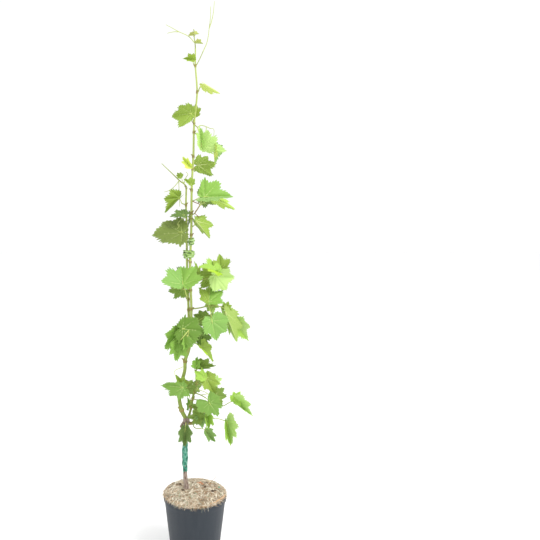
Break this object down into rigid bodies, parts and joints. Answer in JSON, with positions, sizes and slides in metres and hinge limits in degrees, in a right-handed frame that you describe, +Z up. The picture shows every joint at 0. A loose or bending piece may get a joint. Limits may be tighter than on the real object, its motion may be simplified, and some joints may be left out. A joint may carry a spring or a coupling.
{
  "type": "potted grapevine",
  "caption": "Young grafted grapevine with tall tied canes, lobed toothed leaves and tendrils, growing from a plain round tapered pot.",
  "frame": {"origin": "centre of the pot's flat underside, on the ground", "axes": "+Z up along the pot's axis, -Y towards the front from which the picture was taken, +X to the picture's right"},
  "size_m": [0.2451, 0.16, 1.3681],
  "materials": {
    "pot_plastic": "matt, slightly rubbed",
    "soil": "loose dry fibres and straw",
    "bark": "rough grey-brown bark",
    "cane_bark": "fine-ribbed green cane",
    "wax": "soft sheen, folded",
    "ribbon": "soft sheen, creased",
    "leaf": "matt leaf with a faint sheen"
  },
  "bodies": {
    "root": {"pot": "pot_plastic", "soil": "soil", "trunk": "bark", "main_cane": "cane_bark", "second_cane": "cane_bark", "right_shoot": "cane_bark", "low_spur": "cane_bark", "graft_wax": "wax", "tie_ribbon": "ribbon", "tie_band": "ribbon", "leaves_tip": "leaf", "leaf_top_left": "leaf", "tendril_top_right": "leaf", "leaf_top_right": "leaf", "leaf_upper_left": "leaf", "leaf_upper_back": "leaf", "leaves_upper_right": "leaf", "leaf_upper_right_back": "leaf", "leaf_node_right": "leaf", "leaf_node_left": "leaf", "leaf_node_small": "leaf", "leaves_second_tip": "leaf", "leaves_right_top": "leaf", "leaf_right_top_back": "leaf", "leaf_left_top": "leaf", "leaf_left_small": "leaf", "leaves_left_back": "leaf", "leaf_right_small": "leaf", "leaf_left_large": "leaf", "leaves_right_high": "leaf", "leaves_left_high": "leaf", "leaf_left_high_back": "leaf", "leaves_right_mid": "leaf", "leaves_right_mid_back": "leaf", "leaves_left_mid": "leaf", "leaf_left_mid_back": "leaf", "leaves_centre": "leaf", "leaves_right_tip": "leaf", "leaves_left_low": "leaf", "leaves_low_back": "leaf", "leaves_low_right_back": "leaf", "leaves_low_front": "leaf", "leaves_low_mid": "leaf", "leaves_low_far": "leaf", "leaves_spur": "leaf", "leaf_spur_low": "leaf", "leaf_head": "leaf"}
  },
  "joints": []
}
